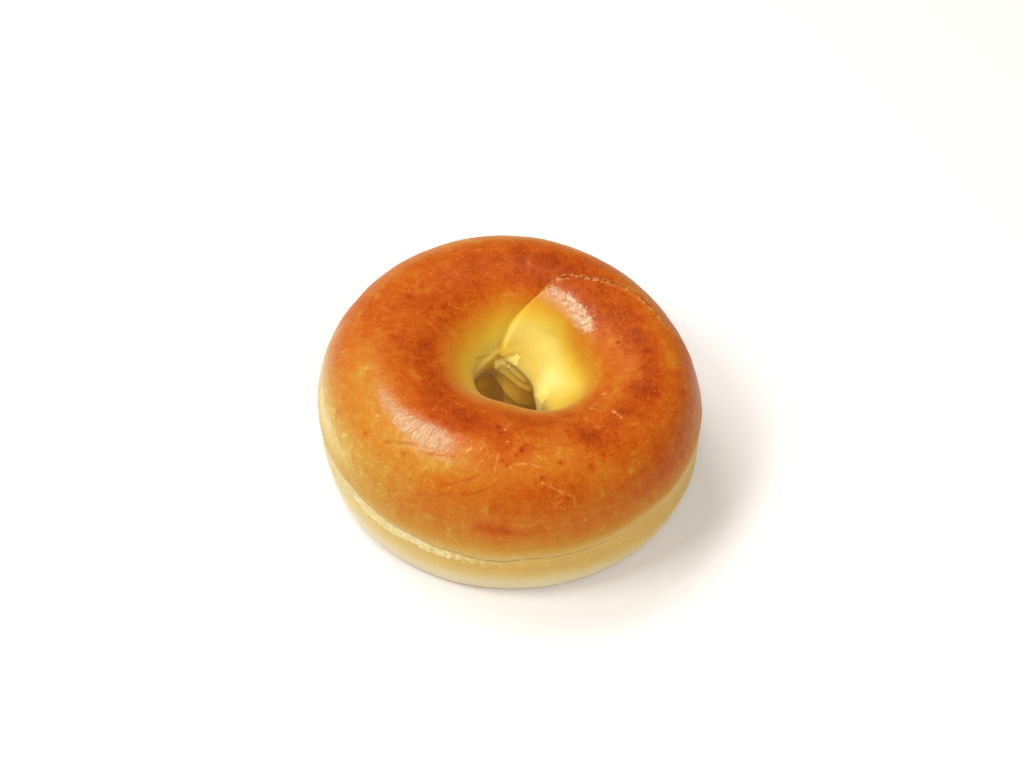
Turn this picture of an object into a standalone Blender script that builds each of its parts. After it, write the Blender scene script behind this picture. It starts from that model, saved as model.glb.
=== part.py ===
"""A ring-shaped bread roll: one closed solid of baked dough.

A rope of dough is closed into a ring, its end wrapped over its start. The side
has a burst line all the way round, where the crown rose off the belly, and the
foot is the flat that was baked on the tray.

The surface is worked out from two angles. "ring" goes round the roll, from 0 at
the front (-Y) by 90 degrees at the right (+X) to 180 at the back. "turn" goes
round the rope, from 0 at the burst line on the side, over the crown at 90, down
the wall of the hole at 180 and under the foot at 270. Lengths are in metres and
angles in degrees.
"""

from math import atan2, cos, degrees, exp, hypot, radians, sin

import bpy

# Driving sizes of the ring.
OUTER_RADIUS = 0.0550      # middle of the ring to the burst line
CROWN_RADIUS = 0.0369      # middle of the ring to the top of the rope
HOLE_RADIUS = 0.0134       # narrowest part of the hole
CROWN_RISE = 0.0246        # burst line to the top of the rope
BELLY_DROP = 0.0282        # burst line to where a round belly would end
FOOT_DROP = 0.0219         # burst line to the flat foot
FOOT_EASE = 0.0022         # softness of the edge where the belly meets the foot
SQUARENESS = 2.27          # 2 is an ellipse, more is squarer

# How unevenly the ring was shaped: (lobes round the ring, size, direction).
OUTLINE_LOBES = (
    (2, 0.00118, 45),
    (3, 0.00062, -47),
)
# Height of the crown, as shares of CROWN_RISE.
CROWN_LOBES = (
    (1, 0.086, -45),
    (2, 0.057, -27),
)
# Level of the burst line.
BURST_LEVEL_LOBES = (
    (1, 0.00087, -125),
    (2, 0.00127, 90),
)
# The hole's upper wall leans this far to the right and to the back.
HOLE_LEAN = (0.0067, 0.0017)
HOLE_LEAN_REACH = 0.6      # share of the crown's height over which the lean fades in

# Swellings and dips of the hole's upper rim: (ring, reach, height).
RIM_SWELLS = (
    (-18, 46, 0.0010),
    (-58, 44, -0.0008),
)
RIM_TURN = 132.0
RIM_REACH = 60.0

# The burst line's groove, and the crown's lip just above it.
BURST_DEPTH = 0.0012
BURST_WIDTH = 14.0         # turn to where the groove has almost gone
BURST_TORN_RING = -55      # where it is torn widest open
BURST_TORN_REACH = 150.0
BURST_SHUT_SHARE = 0.5     # how much of the groove is left where it is shut
BURST_LIP = 0.0006
BURST_LIP_TURN = 13.0

# The rope's end lies over its start up to this edge, given as (turn, ring).
WRAP_EDGE = (
    (0, 84),
    (66, 106),
    (75, 121),
    (87, 134),
    (94, 142),
    (99, 152),
    (105, 158),
    (121, 169),
    (133, 182),
    (147, 199),
    (156, 206),
    (165, 205),
    (190, 190),
    (240, 165),
    (300, 120),
    (360, 84),
)
# In the hole it hangs down to this edge, given as (ring, turn), with a thick tongue.
WRAP_TIP = (
    (0, 215),
    (112, 212),
    (119, 202),
    (124, 186),
    (130, 178),
    (150, 176),
    (172, 173),
    (194, 168),
    (206, 162),
    (240, 158),
    (360, 215),
)
WRAP_LIFT = 0.0012         # how far the end stands above the crown beside it
TONGUE_LIFT = 0.0027       # how much further it stands out in the hole
TONGUE_RING = 124.0
TONGUE_REACH = 130.0
TONGUE_TURNS = (130.0, 178.0)
SHOULDER_LIFT = 0.0018     # the swelling of its shoulder, above the hole
SHOULDER_RING = 135.0
SHOULDER_TURN = 138.0
SHOULDER_REACH = (110.0, 60.0)  # ring, turn
WRAP_STEP = 3.0            # ring over which the end steps down to its start
TIP_STEP = 6.0             # turn over which the tip steps back to the wall
WRAP_MELTS = (0.0, 75.0)   # ring over which it melts into the crown
TONGUE_MELTS = (60.0, 150.0)
WRAP_SHOWS = (15.0, 55.0)  # turn over which the step comes up on the outside

# The ledge left in the hole's wall, beside the wrapped end.
LEDGE_RING = -134
LEDGE_REACH = 56.0
LEDGE_TURN = 162
LEDGE_RISE = 4.0
LEDGE_FALL = 22.0
LEDGE_SIZE = 0.0011

# The hollow under the ledge, where the hole opens out towards the foot.
HOLLOW_DEPTH = 0.0088
HOLLOW_STARTS = (184.0, 202.0)  # ring, beside the folds under the wrapped end
HOLLOW_ENDS = (215.0, 290.0)
HOLLOW_DROPS = (174.0, 202.0)   # turn
HOLLOW_CLOSES = (238.0, 292.0)
HOLLOW_LEAST = 0.13             # share of its depth that it keeps all round the hole

# The solid's grid. Its seam column follows the wrapped end's edge.
RING_STEPS = 96
TURN_STEPS = 48
SEAM_COLUMN = 150.0
GRID_EVEN_FROM = 20.0
GRID_EVEN_TO = 300.0


def ease(start, end, value):
    """0 before start, 1 after end, and a smooth rise between them."""
    share = min(1.0, max(0.0, (value - start) / (end - start)))
    return share * share * (3.0 - 2.0 * share)


def bump(distance, reach):
    """1 at no distance, falling off to almost nothing at the reach."""
    return exp(-(2.0 * distance / reach) ** 2)


def apart(angle, other):
    """Difference of two angles, from -180 to 180."""
    return (angle - other + 180.0) % 360.0 - 180.0


def lobes(table, ring):
    """Sum of the waves that a table of lobes sends round the ring."""
    return sum(size * cos(count * radians(ring - direction)) for count, size, direction in table)


def squared(value):
    """A sine or cosine pushed outwards, so that an ellipse turns squarer."""
    size = abs(value) ** (2.0 / SQUARENESS)
    return size if value >= 0.0 else -size


def rest_on_foot(drop):
    """Depth below the burst line, levelled off softly at the flat foot."""
    if drop <= FOOT_DROP - FOOT_EASE:
        return drop
    if drop >= FOOT_DROP + FOOT_EASE:
        return FOOT_DROP
    return FOOT_DROP - (FOOT_DROP + FOOT_EASE - drop) ** 2 / (4.0 * FOOT_EASE)


def read_off(table, value):
    """The second number that a table of pairs gives for this first number."""
    for (first_a, second_a), (first_b, second_b) in zip(table, table[1:]):
        if value <= first_b:
            break
    return second_a + (second_b - second_a) * (value - first_a) / (first_b - first_a)


def along_seam(column, turn):
    """Ring angle of a column of the grid, which bends with the wrapped end's edge."""
    column %= 360.0
    edge = read_off(WRAP_EDGE, turn)
    if GRID_EVEN_FROM < column <= SEAM_COLUMN:
        share = (column - GRID_EVEN_FROM) / (SEAM_COLUMN - GRID_EVEN_FROM)
        return GRID_EVEN_FROM + share * (edge - GRID_EVEN_FROM)
    if SEAM_COLUMN < column < GRID_EVEN_TO:
        share = (GRID_EVEN_TO - column) / (GRID_EVEN_TO - SEAM_COLUMN)
        return GRID_EVEN_TO - share * (GRID_EVEN_TO - edge)
    return column


def wrap_height(ring, turn):
    """How far the wrapped end lifts the surface."""
    in_hole = ease(*TONGUE_TURNS, turn)
    behind_edge = read_off(WRAP_EDGE, turn) - ring % 360.0
    above_tip = read_off(WRAP_TIP, ring % 360.0) - turn
    step = ease(-WRAP_STEP, 0.0, behind_edge) * ease(-TIP_STEP, 0.0, above_tip)
    melt_from = WRAP_MELTS[0] + (TONGUE_MELTS[0] - WRAP_MELTS[0]) * in_hole
    melt_to = WRAP_MELTS[1] + (TONGUE_MELTS[1] - WRAP_MELTS[1]) * in_hole
    melt = 1.0 - ease(melt_from, melt_to, behind_edge)
    tongue = TONGUE_LIFT * in_hole * bump(apart(ring, TONGUE_RING), TONGUE_REACH)
    shoulder = bump(apart(ring, SHOULDER_RING), SHOULDER_REACH[0])
    shoulder *= SHOULDER_LIFT * bump(turn - SHOULDER_TURN, SHOULDER_REACH[1])
    return ((WRAP_LIFT + tongue) * melt + shoulder) * step * ease(*WRAP_SHOWS, turn)


def rim_height(ring, turn):
    """Swellings and dips of the hole's upper rim."""
    swelling = sum(size * bump(apart(ring, place), reach) for place, reach, size in RIM_SWELLS)
    return swelling * bump(turn - RIM_TURN, RIM_REACH)


def burst_depth(ring, turn):
    """Depth of the burst line's groove, less the lip above it."""
    torn = bump(apart(ring, BURST_TORN_RING), BURST_TORN_REACH)
    openness = BURST_SHUT_SHARE + (1.0 - BURST_SHUT_SHARE) * torn
    groove = BURST_DEPTH * bump(apart(turn, 0.0), BURST_WIDTH)
    lip = BURST_LIP * bump(apart(turn, BURST_LIP_TURN), BURST_WIDTH)
    return openness * (groove - lip)


def ledge_height(ring, turn):
    """Height of the ledge in the hole's wall."""
    along = bump(apart(ring, LEDGE_RING), LEDGE_REACH)
    below_line = turn - LEDGE_TURN
    across = ease(-LEDGE_RISE, 0.0, below_line) * (1.0 - ease(0.0, LEDGE_FALL, below_line))
    return LEDGE_SIZE * along * across


def hollow_depth(ring, turn):
    """How far the hole's wall stands back under the ledge."""
    around = ease(*HOLLOW_STARTS, ring % 360.0) * (1.0 - ease(*HOLLOW_ENDS, ring % 360.0))
    around = HOLLOW_LEAST + (1.0 - HOLLOW_LEAST) * around
    down = ease(*HOLLOW_DROPS, turn) * (1.0 - ease(*HOLLOW_CLOSES, turn))
    return HOLLOW_DEPTH * around * down


def dough_point(ring, turn):
    """Place on the surface, with the middle of the ring on the Z axis and the foot at 0."""
    side = squared(cos(radians(turn)))
    height = squared(sin(radians(turn)))
    half_width = OUTER_RADIUS - CROWN_RADIUS if side > 0.0 else CROWN_RADIUS - HOLE_RADIUS
    radius = CROWN_RADIUS + half_width * side
    inwards = (OUTER_RADIUS - radius) / (OUTER_RADIUS - HOLE_RADIUS)
    radius += lobes(OUTLINE_LOBES, ring) * (1.0 - inwards)

    if height > 0.0:
        level = CROWN_RISE * (1.0 + lobes(CROWN_LOBES, ring)) * height
        near_burst = 1.0 - height
    else:
        level = -rest_on_foot(-BELLY_DROP * height)
        near_burst = 1.0 + level / FOOT_DROP
    level += lobes(BURST_LEVEL_LOBES, ring) * max(0.0, side) * near_burst

    relief = wrap_height(ring, turn) + ledge_height(ring, turn)
    relief += rim_height(ring, turn) - burst_depth(ring, turn)
    relief *= min(1.0, (level + FOOT_DROP) / FOOT_EASE)
    radius += relief * cos(radians(turn)) + hollow_depth(ring, turn)
    level += relief * sin(radians(turn))

    lean = inwards * ease(0.0, HOLE_LEAN_REACH, height)
    x = radius * sin(radians(ring)) + HOLE_LEAN[0] * lean
    y = -radius * cos(radians(ring)) + HOLE_LEAN[1] * lean
    return x, y, level + FOOT_DROP


def crust_material():
    """Egg-washed crust, one plain colour for the solid."""
    material = bpy.data.materials.new("glazed_crust")
    material.use_nodes = True
    shader = material.node_tree.nodes["Principled BSDF"]
    shader.inputs["Base Color"].default_value = (0.578, 0.100, 0.012, 1.0)
    shader.inputs["Roughness"].default_value = 0.35
    shader.inputs["Metallic"].default_value = 0.0
    return material


def build_bagel():
    """A torus whose every vertex is moved onto the surface of the baked dough."""
    rope_radius = (OUTER_RADIUS - HOLE_RADIUS) / 2.0
    ring_radius = HOLE_RADIUS + rope_radius
    bpy.ops.mesh.primitive_torus_add(
        major_segments=RING_STEPS,
        minor_segments=TURN_STEPS,
        major_radius=ring_radius,
        minor_radius=rope_radius,
    )
    bagel = bpy.context.object
    bagel.name = "bagel"
    bagel.data.name = "bagel"
    vertices = bagel.data.vertices
    for vertex in vertices:
        x, y, z = vertex.co
        column = degrees(atan2(x, -y))
        turn = degrees(atan2(z, hypot(x, y) - ring_radius)) % 360.0
        vertex.co = dough_point(along_seam(column, turn), turn)

    # The origin is on the foot's level, under the middle of the roll's box.
    for axis in (0, 1):
        places = [vertex.co[axis] for vertex in vertices]
        middle = (min(places) + max(places)) / 2.0
        for vertex in vertices:
            vertex.co[axis] -= middle

    bagel.data.shade_smooth()
    bagel.data.materials.append(crust_material())
    return bagel


def clear_scene():
    for thing in list(bpy.data.objects):
        bpy.data.objects.remove(thing)


clear_scene()
build_bagel()
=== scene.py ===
from math import cos, pi, radians, sin

import bpy
import numpy as np
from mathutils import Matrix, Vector


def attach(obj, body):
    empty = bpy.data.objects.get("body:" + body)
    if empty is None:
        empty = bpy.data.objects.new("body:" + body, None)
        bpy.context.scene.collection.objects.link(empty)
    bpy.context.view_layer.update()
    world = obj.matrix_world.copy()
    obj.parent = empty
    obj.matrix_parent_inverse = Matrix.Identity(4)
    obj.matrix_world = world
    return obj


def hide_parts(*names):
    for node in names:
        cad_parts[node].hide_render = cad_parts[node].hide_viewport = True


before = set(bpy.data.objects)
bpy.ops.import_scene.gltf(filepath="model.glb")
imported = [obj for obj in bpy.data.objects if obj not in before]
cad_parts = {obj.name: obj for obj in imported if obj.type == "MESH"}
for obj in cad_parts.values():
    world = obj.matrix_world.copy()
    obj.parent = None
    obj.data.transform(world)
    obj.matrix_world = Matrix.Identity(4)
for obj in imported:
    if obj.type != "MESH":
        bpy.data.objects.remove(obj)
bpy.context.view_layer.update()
bpy.ops.object.select_all(action="DESELECT")

# One ring-shaped roll, with the finish it has from the oven. Lengths are in metres and
# angles in degrees, unless a comment says mm. "ring" goes round the roll from 0 at the
# front by 90 at the right to 180 at the back. "turn" goes round the rope of dough from
# 0 at the burst line on the side, over the crown at 90 and down the wall of the hole at
# 180 to the foot at 270.
OUTER_RADIUS = 0.0550      # middle of the ring to the burst line
CROWN_RADIUS = 0.0369      # middle of the ring to the top of the rope
HOLE_RADIUS = 0.0134       # narrowest part of the hole
ROPE_RADIUS = (OUTER_RADIUS - HOLE_RADIUS) / 2.0
CROWN_RISE = 0.0246        # burst line to the top of the rope
BELLY_DROP = 0.0282        # burst line to where a round belly would end
FOOT_DROP = 0.0219         # burst line to the flat foot
FOOT_EASE = 0.0022         # softness of the edge where the belly meets the foot
SQUARENESS = 2.27          # 2 is an ellipse, more is squarer
RING_MM = CROWN_RADIUS * 1000.0
ROPE_MM = ROPE_RADIUS * 1000.0

# How unevenly the ring was shaped: (lobes round the ring, size, direction).
OUTLINE_LOBES = ((2, 0.00118, 45), (3, 0.00062, -47))
CROWN_LOBES = ((1, 0.086, -45), (2, 0.057, -27))
BURST_LEVEL_LOBES = ((1, 0.00087, -125), (2, 0.00127, 90))
# The hole's upper wall leans this far to the right and to the back, coming in over
# this share of the crown's height.
HOLE_LEAN = (0.0067, 0.0017)
HOLE_LEAN_REACH = 0.6

# The rope's end lies over its start up to this edge, as (turn, ring), and hangs
# down in the hole to this tip, as (ring, turn).
WRAP_EDGE = (
    (0, 84), (66, 106), (75, 121), (87, 134), (94, 142), (99, 152), (105, 158), (121, 169), (133, 182),
    (147, 199), (156, 206), (165, 205), (190, 190), (240, 165), (300, 120), (360, 84),
)
WRAP_TIP = (
    (0, 215), (112, 212), (119, 202), (124, 186), (130, 178), (150, 176), (172, 173), (194, 168),
    (206, 162), (240, 158), (360, 215),
)
# How far it stands above the dough beside it, on the crown, with its tongue in the
# hole and with its shoulder above the hole, and how it steps down and melts away.
WRAP_LIFT = 0.0009
TONGUE_LIFT = 0.0027
TONGUE_RING = 124.0
TONGUE_REACH = 130.0
TONGUE_TURNS = (130.0, 178.0)
SHOULDER_LIFT = 0.0028
SHOULDER_RING = 135.0
SHOULDER_TURN = 138.0
SHOULDER_REACH = (110.0, 60.0)     # ring, turn
WRAP_STEP = (4.5, 1.25)            # ring, outside and in the hole
WRAP_STEP_TURNS = (100.0, 130.0)   # turns between the two
TIP_STEP = 4.0                     # turn
SEAM_DIP = 0.0009                  # dip of the dough just past the edge
SEAM_DIP_OUTSIDE = 0.3             # share of it outside the hole
SEAM_DIP_REACH = 16.0              # ring
SEAM_DIP_TIP = (-6.0, 6.0)         # turns above the tip over which it comes in
SEAM_EDGE = (-0.8, 0.8)            # rings over which the wash stops at the seam
WRAP_MELTS = (0.0, 75.0)           # rings behind the edge
TONGUE_MELTS = (60.0, 150.0)
WRAP_SHOWS = (15.0, 55.0)          # turns over which the step comes up on the outside

# The ledge of torn dough in the hole's wall, and the hollow under it.
LEDGE_RING = -134
LEDGE_REACH = 56.0
LEDGE_TURN = 162
LEDGE_RISE = 3.0
LEDGE_FALL = 22.0
LEDGE_SIZE = 0.0012
HOLLOW_DEPTH = 0.0088
HOLLOW_STARTS = (184.0, 202.0)     # ring
HOLLOW_ENDS = (215.0, 290.0)
HOLLOW_DROPS = (174.0, 202.0)      # turn
HOLLOW_CLOSES = (238.0, 292.0)
HOLLOW_LEAST = 0.13                # share of its depth all round the hole

# The rounded lobe of the torn end at the hole's right, and the slack folds of dough
# under the wrapped end: (ring, turn, reach round the ring, reach round the rope,
# height) and lines of (ring, turn).
LOBE = (104, 168, 44, 40, 0.0011)
VALLEY = ((150, 150), (136, 156), (127, 163), (123, 172))
VALLEY_DEPTH = 0.0005
VALLEY_REACH = 2.6                 # mm
FOLDS = (
    ((204, 172), (196, 178), (186, 180), (176, 185), (166, 190), (154, 193)),
    ((190, 173), (182, 176), (171, 181), (160, 185)),
    ((193, 189), (187, 193), (178, 199), (168, 206), (156, 209)),
    ((196, 213), (187, 214), (178, 216), (166, 217), (150, 216)),
)
FOLD_HEIGHT = 0.0008
FOLD_REACH_MM = 0.95

# Swellings and dips of the hole's upper rim: (ring, reach, height).
RIM_SWELLS = ((-18, 46, 0.0010), (-58, 44, -0.0008))
RIM_TURN = 132.0
RIM_REACH = 60.0

# The burst line, which wavers by (lobes round the ring, turns, direction). It is torn
# open at the left, a thin crack at the front and a soft fold everywhere else, round
# (ring, reach). Its reaches are turns, above and below the line.
BURST_WAVER = ((5, 0.7, 30), (11, 0.5, 75), (19, 0.35, 5), (31, 0.2, 40))
BURST_TORN = (-62.0, 110.0)
BURST_CRACK = (2.0, 46.0)
TORN_DEPTH = 0.0013
TORN_REACH = (2.2, 8.5)
CRACK_DEPTH = 0.0006
CRACK_REACH = (2.0, 3.0)
FOLD_DEPTH = 0.0008
FOLD_REACH = (7.0, 7.0)
LIP_HEIGHT = 0.0003
LIP_TURN = 8.0
LIP_REACH = 14.0

# The mesh: columns round the ring, which bend along the wrapped end's edge, and
# rows round the rope, as (turn, rows up to the next turn), packed close at the
# burst line and wide apart under the foot.
RING_STEPS = 432
TURN_ROWS = ((-55, 30), (-8, 24), (6, 38), (60, 52), (130, 68), (235, 16))
TURN_STEPS = sum(rows for turn, rows in TURN_ROWS)
SEAM_COLUMN = 150.0
GRID_EVEN_FROM = 20.0
GRID_EVEN_TO = 300.0

# Wrinkles pulled in the skin while it rose, as lines of (ring, turn), darkened along their length partly as
# painted shade.
GROOVES = (
    ((-47, 55), (-43, 61), (-36, 68), (-29, 72), (-25, 72)),
    ((-35, 63), (-29, 66), (-22, 71)),
    ((-31, 34), (-25, 37), (-20, 43), (-15, 45), (-11, 48), (-7, 54), (-3, 59)),
    ((-23, 46), (-20, 50), (-17, 53), (-14, 57), (-12, 61)),
    ((34, 97), (31, 87), (28, 78)),
    ((36, 88), (35, 79), (34, 70)),
    ((147, 99), (150, 97), (154, 101), (158, 106), (161, 113)),
    ((141, 120), (146, 120), (149, 116)),
    ((120, 113), (125, 120), (131, 121), (138, 120)),
)
# Fine raised creases, the same way, with a painted glint along them.
RIDGES = (
    ((-45, 35), (-42, 34)),
    ((-39, 39), (-36, 37), (-33, 36), (-30, 35)),
    ((-19, 87), (-18, 81), (-19, 75)),
    ((-14, 89), (-14, 80)),
    ((-13, 77), (-13, 64)),
    ((-7, 81), (-7, 72), (-6, 59)),
    ((-3, 68), (0, 74), (5, 75), (9, 72)),
    ((11, 59), (13, 55), (16, 50), (19, 46)),
    ((11, 94), (16, 90), (18, 86)),
    ((14, 40), (18, 36), (20, 32)),
    ((43, 111), (45, 104), (50, 99), (50, 91)),
    ((56, 118), (60, 112)),
)
# The dark line over the torn ledge, with the notch at its end, partly painted shade
# under the ledge's lip and in the notch, and the stretch of the wrapped end's edge
# that shows as a seam: first turn, last turn, turns apart.
LEDGE_LINE = ((249, 151), (234, 157), (224, 160), (212, 163))
NOTCH = ((208, 165), (205, 160))
SEAM_SHOWS = (56, 152, 3)
SEAM_COUNTS = (40.0, 166.0)        # turns outside which no vertex is near the seam
FAR_MM = 30.0                      # how far from the seam those vertices count as

# Blown blisters and pits, and pale specks painted as glints, as (ring, turn, radius in mm),
# and how many radii wide they, and the burnt rings round the pits, come out.
PITS = (
    (-11, 100, 1.5), (-9, 96, 0.9), (2, 86, 0.8), (0, 81, 0.5), (-5, 76, 0.5), (-3, 73, 0.6),
    (17, 74, 0.7), (10, 63, 0.6), (18, 63, 0.5), (-144, 95, 0.5), (-56, 49, 0.5), (-39, 56, 0.6),
    (-34, 93, 0.4), (-41, 2, 0.6), (99, 110, 0.7), (95, 117, 0.5), (-88, 55, 0.5), (-98, 44, 0.5),
)
GLINT_SPECKS = (
    (-8, 99, 0.5), (-9, 93, 0.35), (-5, 91, 0.4), (10, 59, 0.5), (-12, 73, 0.4), (-23, 33, 0.4),
    (-20, 47, 0.4), (-13, 13, 0.4), (-12, 9, 0.4), (-9, 7, 0.4), (-23, 9, 0.3), (-26, 2, 0.3),
    (4, 37, 0.3), (12, 24, 0.5), (23, 25, 0.5), (28, 13, 0.5), (50, 97, 0.7), (50, 91, 0.6),
    (43, 111, 0.5), (5, 12, 0.3), (3, -11, 0.4), (-2, 12, 0.3), (12, 13, 0.3), (-30, 6, 0.4),
    (-38, 12, 0.3), (95, 74, 0.5), (80, 53, 0.5), (71, 82, 0.4), (-100, 58, 0.4), (-152, 159, 0.4),
    (58, 115, 0.6),
)
PIT_WIDE = 1.2
HALO_WIDE = 3.4
SPECK_WIDE = 1.5

# Torn crumb: in the burst line, over these turns about the line, on the torn end in
# the hole, round (ring, reach) and over these turns, and on the ledge, as (ring, turn,
# reach round the ring, reach round the rope, share).
BURST_CRUMB_LOW = (-9.5, -4.0)
BURST_CRUMB_HIGH = (-1.0, 0.2)
TORN_END = (105, 34)
TORN_END_STARTS = (169.0, 174.0)
TORN_END_ENDS = (218.0, 232.0)
LEDGE_CRUMB = (190, 171, 36, 14, 1.0)

# Lumps of slack dough under the wrapped end. From here on a patch is (ring, turn,
# reach round the ring, reach round the rope, amount).
SLACK_LUMPS = ((182, 212, 66, 38, 0.0032), (212, 214, 24, 14, 0.0016))
SLACK_FROM_FOOT = (0.002, 0.008)   # height over which slack and folds come in
FOLDS_END = (200.0, 214.0)         # ring
# The foot of the hole's wall spreads inwards, round (ring, reach) and over turns,
# and the torn end leans in as a patch does.
SPREAD = 0.0062
SPREAD_AROUND = (206, 150)
SPREAD_STARTS = (205.0, 230.0)
SPREAD_ENDS = (250.0, 275.0)
TORN_END_LEAN = (98, 197, 46, 44, 0.0028)

# Where the egg wash lies thick and shines, how thick it lies elsewhere, and where the
# skin under it crinkled most. Its thickest patches lie where the lamps' highlights fall,
# and there its pale film is partly a painted highlight. Over these rings it stops at the seam.
GLAZED = (
    (-38, 76, 30, 22, 0.66), (-62, 78, 50, 20, 0.40), (-16, 74, 26, 30, 0.14), (158, 124, 46, 22, 0.95),
    (128, 126, 36, 20, 0.56), (-34, 82, 14, 14, 0.20), (-92, 30, 40, 60, 0.30), (95, 30, 60, 60, 0.20),
)
GLAZED_ELSEWHERE = 0.18
GLAZED_TO_SEAM = (140.0, 215.0)
RUMPLED = ((150, 122, 60, 40, 0.9), (108, 122, 50, 40, 0.8), (-4, 70, 40, 50, 0.3))

# How brown the crust is by turn, from the foot over the belly, the crown and the rim
# of the hole, and on the way into the hole by turns from its golden middle.
CRUST_BROWNING = (
    (-90, 0.36), (-60, 0.18), (-34, 0.02), (-24, 0.05), (-13, 0.15), (-4, 0.15), (2, 0.24), (8, 0.38),
    (15, 0.54), (25, 0.66), (40, 0.71), (60, 0.74), (80, 0.80), (95, 0.88), (112, 0.90),
)
HOLE_BROWNING = (
    (-40, 0.92), (-26, 0.86), (-15, 0.60), (-5, 0.43), (0, 0.34), (7, 0.20), (14, 0.10), (20, 0.09),
    (30, 0.15), (80, 0.12), (105, 0.30),
)
# The turn of that golden middle, as (ring, turn), and how far up the flap moves it.
HOLE_MIDDLE = (
    (0, 140), (45, 143), (75, 146), (105, 152), (135, 149), (165, 143), (195, 138), (225, 143),
    (255, 142), (285, 139), (360, 140),
)
FLAP_GOLD = 8.0
FLAP_EDGE = (-2.6, -1.4)           # ring behind the seam
FLAP_ENDS = (118.0, 150.0)         # ring
FLAP_TIP = (-2.0, 2.0)             # turn above its tip
# Turns over which each kind of skin begins and ends: above the burst line, past the
# golden middle, or from the foot.
BELLY_ENDS = (-4.0, 2.0)
CROWN_STARTS = (0.0, 24.0)
CROWN_ENDS = (-26.0, -4.0)
HOLE_STARTS = (-30.0, 4.0)
HOLE_ENDS = (262.0, 270.0)
# Where the oven browned the crown more, or less, and how the belly and the hole are
# toned. In the hole that is the brown hollow on the left and what lies between the folds,
# darkened as painted shade, the ledge, and the folds under the flap, lightened as painted light.
BROWNED = (
    (-8, 24, 5, 7, 0.22), (-4, 23.5, 5, 9, 0.26), (0, 22.5, 5, 7, 0.20), (5, 22, 6, 5, 0.16),
    (10, 22, 6, 4, 0.10), (31, 90, 12, 30, 0.14), (54, 42, 60, 70, 0.04), (76, 88, 46, 24, 0.08),
    (2, 87, 12, 14, 0.12), (-112, 62, 26, 30, 0.10), (112, 92, 60, 30, 0.10), (17, 44, 26, 26, 0.06),
    (-30, 97, 40, 12, 0.08), (168, 92, 46, 20, 0.08),
)
# Paler patches. Those at the left and back edges are partly a painted reflection of the pale rim, and those
# round the left highlight partly a painted highlight, over a paler bake.
PALE_AND_PAINTED_LIGHT = (
    (4, 92, 50, 22, 0.08), (-66, 56, 60, 60, 0.05), (-18, 82, 14, 20, 0.10), (-10, 103, 12, 9, 0.12),
    (-74, 12, 64, 36, 0.46), (-100, 18, 50, 50, 0.16), (-50, 34, 44, 34, 0.10), (180, 60, 120, 20, 0.20),
    (-76, 72, 56, 36, 0.20), (-80, 34, 30, 30, 0.08), (128, 84, 44, 30, 0.07), (-40, 64, 50, 30, 0.16),
    (-42, 40, 60, 30, 0.15), (-10, 68, 34, 26, 0.12), (15, 80, 22, 40, 0.20), (-42, 74, 44, 40, 0.10),
    (92, 60, 50, 70, 0.05), (112, 76, 40, 44, 0.06), (72, 108, 34, 20, 0.20), (45, 106, 34, 20, 0.18),
    (84, 99, 16, 12, 0.12), (105, 128, 70, 30, 0.14), (98, 112, 24, 14, 0.10), (32, 45, 14, 40, 0.08),
    (-24, 60, 24, 16, 0.06), (-126, 85, 14, 26, 0.08), (-111, 98, 12, 16, 0.08), (-95, 81, 14, 22, 0.06),
    (88, 71, 8, 10, 0.22),
)
# On the belly, partly painted light: paler on the left where the light falls, tanner on the right, and darker
# under the burst line at the front as painted shade under the overhang.
BELLY_TONE_PAINTED_LIGHT_AND_SHADE = ((-2, -6, 90, 14, 0.11), (60, -16, 70, 40, 0.12), (-66, -16, 50, 40, -0.08))
# In the hole: painted shade in the brown hollow, between the folds and on the spread foot; painted light on the
# folds under the flap; the rest is the dough's own tone at the ledge and the torn lobe.
HOLE_TONE_PAINTED_SHADE_AND_LIGHT = (
    (207, 208, 26, 60, 0.54), (212, 180, 30, 16, 0.16), (228, 168, 50, 22, 0.04),
    (176, 205, 60, 12, 0.10), (180, 187, 50, 8, 0.16), (165, 200, 50, 8, 0.14),
    (104, 166, 50, 24, -0.12), (172, 202, 80, 34, -0.34), (96, 164, 40, 30, 0.05),
    (190, 236, 130, 24, 0.40),
)
# The near rim of the hole browned at least this much, round (ring, reach), from here
# inwards. The flap's edge is browner as painted shade on its step, which catches the
# light, and the inner foot is browner too.
NEAR_RIM = 0.56
NEAR_RIM_AROUND = (-8, 170)
NEAR_RIM_STARTS = (116.0, 134.0)
FLAP_EDGE_PAINTED_SHADE = 0.06
FLAP_EDGE_AT = (-0.6, 1.8)         # ring behind the seam, reach
FLAP_EDGE_STARTS = (110.0, 150.0)
FOOT_BROWN = 0.36
FOOT_STARTS = (228.0, 262.0)
# The deep wall under the flap is painted a light gold, as painted light in the flap's shade, round (ring,
# reach) and over these turns.
DEEP_AROUND = (168, 96)
DEEP_STARTS = (174.0, 194.0)
DEEP_ENDS = (222.0, 240.0)

# Lumps in the skin, as (strength, size): the crown's, finer ones on the belly and the
# grain of torn crumb.
CROWN_LUMPS = (0.0006, 0.012)
BELLY_LUMPS = (0.0007, 0.007)
CRUMB_LUMPS = (0.0010, 0.0012)
LUMPS_OFF_CROWN = 0.35             # share of the crown's lumps that the rest has
LUMPS_FROM_FOOT = 0.004            # height over which they come in
BELLY_LUMPS_END = (-6.0, 0.0)      # turns above the burst line

# What the crust's finish follows, kept on its vertices.
FINISH = (
    "brown", "crown", "hole", "deep", "crumbly", "groove", "ridge", "ledge", "seam", "burst", "crack",
    "pit", "halo", "speck", "glazed", "rumpled",
)
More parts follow.
